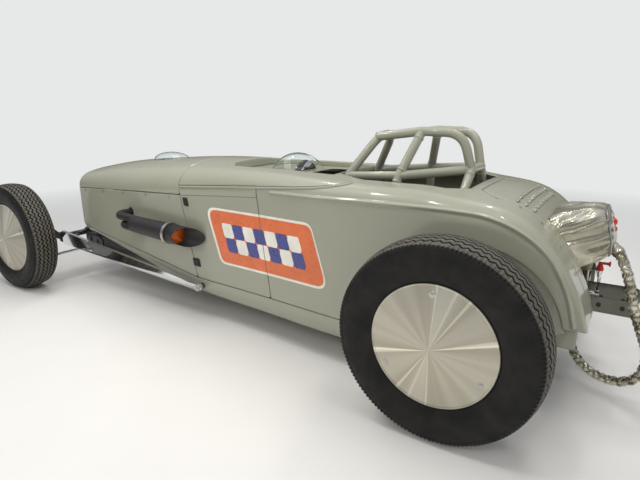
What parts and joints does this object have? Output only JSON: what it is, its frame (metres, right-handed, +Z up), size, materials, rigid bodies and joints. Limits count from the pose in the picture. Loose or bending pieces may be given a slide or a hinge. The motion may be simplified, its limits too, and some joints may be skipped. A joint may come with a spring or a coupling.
{
  "type": "lakester racing car",
  "caption": "Fenderless dry-lakes racing car: roadster body and belly pan over a ladder frame, disc-covered wheels, roll cage, side exhausts, tail parachute and push bar.",
  "frame": {"origin": "on the floor, midway along, across and under the car, without the free tether", "axes": "+X towards the tail, +Y towards the car's right side, +Z up"},
  "size_m": [4.4123, 1.726, 1.2072],
  "materials": {
    "body_paint": "gloss warm grey-green enamel",
    "frame_black": "satin black enamel",
    "chrome": "polished chrome plate",
    "bare_steel": "machined steel",
    "bare_sheet": "bare sheet",
    "spun_aluminium": "spun and brushed",
    "rim_grey": "satin grey enamel",
    "tyre": "satin black rubber",
    "exhaust_black": "matt high-temperature black",
    "cast_iron": "painted casting",
    "orange": "moulded",
    "seat_black": "black hide",
    "grip": "black grip",
    "clear": "clear moulded sheet",
    "gloss_black": "gloss black",
    "silver_cloth": "crinkled aluminised cloth",
    "tether_cloth": "plaited aluminised sleeve"
  },
  "bodies": {
    "chassis": {"nose_shell": "body_paint", "grille": "frame_black", "hood_top": "body_paint", "hood_sides": "body_paint", "cowl_sides": "body_paint", "belly_pan": "body_paint", "body_tub": "body_paint", "deck_lid": "body_paint", "sunken_deck": "body_paint", "firewall": "bare_sheet", "frame_rails": "frame_black", "front_crossmember": "frame_black", "front_spring": "frame_black", "front_axle": "frame_black", "rear_axle": "frame_black", "rear_links": "frame_black", "radius_rods": "chrome", "exhausts": "exhaust_black", "engine_block": "cast_iron", "exhaust_clamps": "bare_steel", "exhaust_plugs": "orange", "roll_cage": "body_paint", "seat": "seat_black", "steering_column": "bare_steel", "windscreen": "clear", "hood_bubble": "clear", "dash": "gloss_black", "parachute_pack": "silver_cloth", "pack_mount": "bare_sheet", "push_bar": "chrome", "tether": "tether_cloth"},
    "knuckle_left": {"knuckle_left": "bare_steel"},
    "knuckle_right": {"knuckle_right": "bare_steel"},
    "tie_rod": {"tie_rod": "chrome"},
    "steering_wheel": {"steering_wheel": "grip"},
    "front_wheel_left": {"front_rim_left": "rim_grey", "front_disc_left": "spun_aluminium", "front_tyre_left": "tyre"},
    "front_wheel_right": {"front_rim_right": "rim_grey", "front_disc_right": "spun_aluminium", "front_tyre_right": "tyre"},
    "rear_wheel_left": {"rear_rim_left": "rim_grey", "rear_disc_left": "spun_aluminium", "rear_tyre_left": "tyre"},
    "rear_wheel_right": {"rear_rim_right": "rim_grey", "rear_disc_right": "spun_aluminium", "rear_tyre_right": "tyre"}
  },
  "joints": [
    {"name": "steer_left", "type": "hinge", "parent": "chassis", "child": "knuckle_left", "pos_m": [-1.77175, -0.58, 0.3965], "axis": [0.1219, 0, 0.9925], "range_deg": [-18, 18]},
    {"name": "steer_right", "type": "hinge", "parent": "chassis", "child": "knuckle_right", "pos_m": [-1.77175, 0.58, 0.3965], "axis": [0.1219, 0, 0.9925], "range_deg": [-18, 18]},
    {"name": "tie_rod_swing", "type": "hinge", "parent": "knuckle_left", "child": "tie_rod", "pos_m": [-1.65254, -0.58, 0.21865], "axis": [0.1219, 0, 0.9925], "range_deg": [-18, 18]},
    {"name": "steering_wheel_turn", "type": "hinge", "parent": "chassis", "child": "steering_wheel", "pos_m": [0.61325, 0, 0.73], "axis": [0.9875, 0, 0.1577], "range_deg": [-144, 144]},
    {"name": "front_left_spin", "type": "hinge", "parent": "knuckle_left", "child": "front_wheel_left", "pos_m": [-1.77175, -0.7, 0.3965], "axis": [0, 1, 0], "continuous": true},
    {"name": "front_right_spin", "type": "hinge", "parent": "knuckle_right", "child": "front_wheel_right", "pos_m": [-1.77175, 0.7, 0.3965], "axis": [0, 1, 0], "continuous": true},
    {"name": "rear_left_spin", "type": "hinge", "parent": "chassis", "child": "rear_wheel_left", "pos_m": [1.51825, -0.7, 0.415], "axis": [0, 1, 0], "continuous": true},
    {"name": "rear_right_spin", "type": "hinge", "parent": "chassis", "child": "rear_wheel_right", "pos_m": [1.51825, 0.7, 0.415], "axis": [0, 1, 0], "continuous": true}
  ],
  "couplings": [
    {"joint": "steer_right", "follows": "steer_left", "ratio": 1},
    {"joint": "tie_rod_swing", "follows": "steer_left", "ratio": -1},
    {"joint": "steering_wheel_turn", "follows": "steer_left", "ratio": 8}
  ]
}
